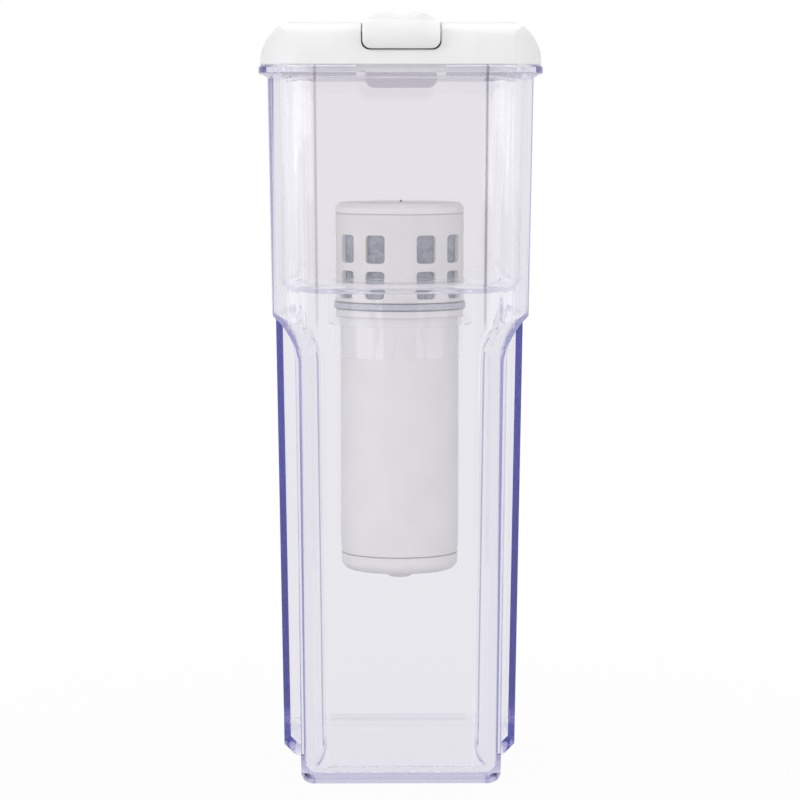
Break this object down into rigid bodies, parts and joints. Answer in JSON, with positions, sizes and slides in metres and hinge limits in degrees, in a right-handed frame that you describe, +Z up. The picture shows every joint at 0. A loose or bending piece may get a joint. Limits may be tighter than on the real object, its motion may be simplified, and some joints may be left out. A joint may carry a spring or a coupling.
{
  "type": "water filter pitcher with flip lid",
  "caption": "Slim clear jug with grip recess, hanging raw-water hopper, drop-in filter cartridge, and white lid with flip-up filling flap and self-opening pouring flap.",
  "frame": {"origin": "bottom centre of the whole pitcher's bounding box, on the surface it stands on", "axes": "+Z up, -Y towards the grip recess and the thumb tab, +Y towards the pouring lip, +X to the right of the thumb tab"},
  "size_m": [0.0994, 0.1249, 0.2718],
  "materials": {
    "clear_plastic": "clear, faintly violet moulded plastic, polished",
    "lid_plastic": "white moulded plastic, satin gloss",
    "cartridge_plastic": "warm white moulded plastic, satin",
    "silicone": "translucent bluish silicone, matte",
    "mesh": "fine woven mesh",
    "carbon": "grey-black carbon granules",
    "fibre": "off-white hollow fibre and felt",
    "potting_resin": "cast resin"
  },
  "bodies": {
    "jug": {"container": "clear_plastic"},
    "hopper": {"hopper": "clear_plastic", "hopper_gasket": "silicone"},
    "cartridge": {"cartridge_case": "cartridge_plastic", "outlet_cap": "cartridge_plastic", "potting_plug": "potting_resin", "fibre_bundle": "fibre", "screen_pad": "fibre", "seal_ring": "silicone", "cartridge_basket": "cartridge_plastic", "mesh_sleeve": "mesh", "carbon_bed": "carbon", "cartridge_cap": "cartridge_plastic"},
    "lid": {"lid_shell": "lid_plastic", "lid_liner": "lid_plastic", "lid_gasket": "silicone"},
    "flap": {"flip_lid": "lid_plastic", "flip_latch": "lid_plastic", "flip_gasket": "silicone"},
    "pouring_flap": {"spout_flap": "lid_plastic"}
  },
  "joints": [
    {"name": "hopper_lift", "type": "slide", "parent": "jug", "child": "hopper", "axis": [0, 0, 1], "range_m": [0, 0.19]},
    {"name": "cartridge_lift", "type": "slide", "parent": "hopper", "child": "cartridge", "axis": [0, 0, 1], "range_m": [0, 0.036]},
    {"name": "lid_lift", "type": "slide", "parent": "hopper", "child": "lid", "axis": [0, 0, 1], "range_m": [0, 0.05]},
    {"name": "flap_hinge", "type": "hinge", "parent": "lid", "child": "flap", "pos_m": [0, 0.012, 0.2654], "axis": [-1, 0, 0], "range_deg": [0, 100]},
    {"name": "pouring_flap_hinge", "type": "hinge", "parent": "lid", "child": "pouring_flap", "pos_m": [0, 0.05582, 0.26239], "axis": [1, 0, 0], "range_deg": [0, 60]}
  ]
}
